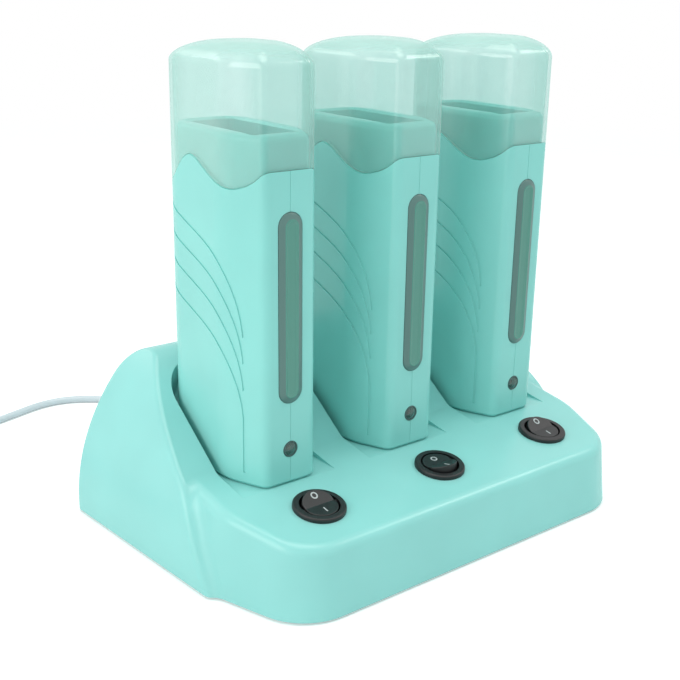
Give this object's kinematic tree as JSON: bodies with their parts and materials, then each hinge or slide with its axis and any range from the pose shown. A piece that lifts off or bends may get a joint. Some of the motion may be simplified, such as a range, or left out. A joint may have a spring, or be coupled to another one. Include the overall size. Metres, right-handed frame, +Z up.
{
  "type": "roll-on wax heater",
  "caption": "Desktop roll-on wax warmer: hand-held heaters with sight windows and frosted caps stand in a sloping charging base with round rocker switches and a mains cord.",
  "frame": {"origin": "on the table, under the middle of the base's footprint", "axes": "+X along the row of heaters, to the right seen from the front; -Y the front with the switches, +Y the rear with the cord; +Z up"},
  "size_m": [0.3402, 0.283, 0.2215],
  "materials": {
    "base_mint": "satin moulded ABS, mint",
    "casing_mint": "satin moulded polypropylene, mint",
    "cap_frosted": "frosted translucent polypropylene, pale mint",
    "window_smoked": "smoked clear polycarbonate",
    "indicator_dark": "dark tinted acrylic",
    "switch_charcoal": "satin nylon, charcoal",
    "heating_foil": "polyimide-covered heating strip",
    "steel_plated": "zinc-plated steel",
    "contact_brass": "turned brass",
    "board_green": "glass-epoxy board",
    "insulator_white": "moulded nylon",
    "foot_rubber": "soft rubber",
    "wire_grey": "PVC-insulated wire",
    "cord_grey": "PVC cord sheath, pale grey",
    "pin_nickel": "nickel-plated brass"
  },
  "bodies": {
    "base": {"base_top_shell": "base_mint", "base_bottom_cover": "base_mint", "rubber_feet": "foot_rubber", "base_screws": "steel_plated", "dock_block_1": "switch_charcoal", "dock_block_2": "switch_charcoal", "dock_block_3": "switch_charcoal", "dock_pins": "contact_brass", "terminal_block": "insulator_white", "internal_wiring": "wire_grey", "switch_housing_1": "switch_charcoal", "switch_housing_2": "switch_charcoal", "switch_housing_3": "switch_charcoal", "switch_terminals": "contact_brass", "strain_relief": "cord_grey", "power_cord": "cord_grey", "power_cord_coil": "cord_grey", "power_cord_tail": "cord_grey", "plug_body": "cord_grey", "plug_pins": "pin_nickel"},
    "rocker_1": {"rocker_1": "switch_charcoal"},
    "rocker_2": {"rocker_2": "switch_charcoal"},
    "rocker_3": {"rocker_3": "switch_charcoal"},
    "heater_1": {"heater_1_left_shell": "casing_mint", "heater_1_right_shell": "casing_mint", "heater_1_window": "window_smoked", "heater_1_indicator_lens": "indicator_dark", "heater_1_sleeve": "casing_mint", "heater_1_heating_strip": "heating_foil", "heater_1_thermostat": "steel_plated", "heater_1_indicator_board": "board_green", "heater_1_contact_socket": "insulator_white", "heater_1_contact_pads": "contact_brass", "heater_1_screw": "steel_plated"},
    "cap_1": {"heater_1_cap": "cap_frosted"},
    "heater_2": {"heater_2_left_shell": "casing_mint", "heater_2_right_shell": "casing_mint", "heater_2_window": "window_smoked", "heater_2_indicator_lens": "indicator_dark", "heater_2_sleeve": "casing_mint", "heater_2_heating_strip": "heating_foil", "heater_2_thermostat": "steel_plated", "heater_2_indicator_board": "board_green", "heater_2_contact_socket": "insulator_white", "heater_2_contact_pads": "contact_brass", "heater_2_screw": "steel_plated"},
    "cap_2": {"heater_2_cap": "cap_frosted"},
    "heater_3": {"heater_3_left_shell": "casing_mint", "heater_3_right_shell": "casing_mint", "heater_3_window": "window_smoked", "heater_3_indicator_lens": "indicator_dark", "heater_3_sleeve": "casing_mint", "heater_3_heating_strip": "heating_foil", "heater_3_thermostat": "steel_plated", "heater_3_indicator_board": "board_green", "heater_3_contact_socket": "insulator_white", "heater_3_contact_pads": "contact_brass", "heater_3_screw": "steel_plated"},
    "cap_3": {"heater_3_cap": "cap_frosted"}
  },
  "joints": [
    {"name": "rocker_1_tilt", "type": "hinge", "parent": "base", "child": "rocker_1", "pos_m": [-0.068, -0.0473, 0.03578], "axis": [1, 0, 0], "range_deg": [-22, 0]},
    {"name": "rocker_2_tilt", "type": "hinge", "parent": "base", "child": "rocker_2", "pos_m": [0, -0.0473, 0.03578], "axis": [1, 0, 0], "range_deg": [0, 22]},
    {"name": "rocker_3_tilt", "type": "hinge", "parent": "base", "child": "rocker_3", "pos_m": [0.068, -0.0473, 0.03578], "axis": [1, 0, 0], "range_deg": [-22, 0]},
    {"name": "heater_1_lift", "type": "slide", "parent": "base", "child": "heater_1", "axis": [0, 0, 1], "range_m": [0, 0.06]},
    {"name": "cap_1_lift", "type": "slide", "parent": "heater_1", "child": "cap_1", "axis": [0, 0, 1], "range_m": [0, 0.045]},
    {"name": "heater_2_lift", "type": "slide", "parent": "base", "child": "heater_2", "axis": [0, 0, 1], "range_m": [0, 0.06]},
    {"name": "cap_2_lift", "type": "slide", "parent": "heater_2", "child": "cap_2", "axis": [0, 0, 1], "range_m": [0, 0.045]},
    {"name": "heater_3_lift", "type": "slide", "parent": "base", "child": "heater_3", "axis": [0, 0, 1], "range_m": [0, 0.06]},
    {"name": "cap_3_lift", "type": "slide", "parent": "heater_3", "child": "cap_3", "axis": [0, 0, 1], "range_m": [0, 0.045]}
  ]
}
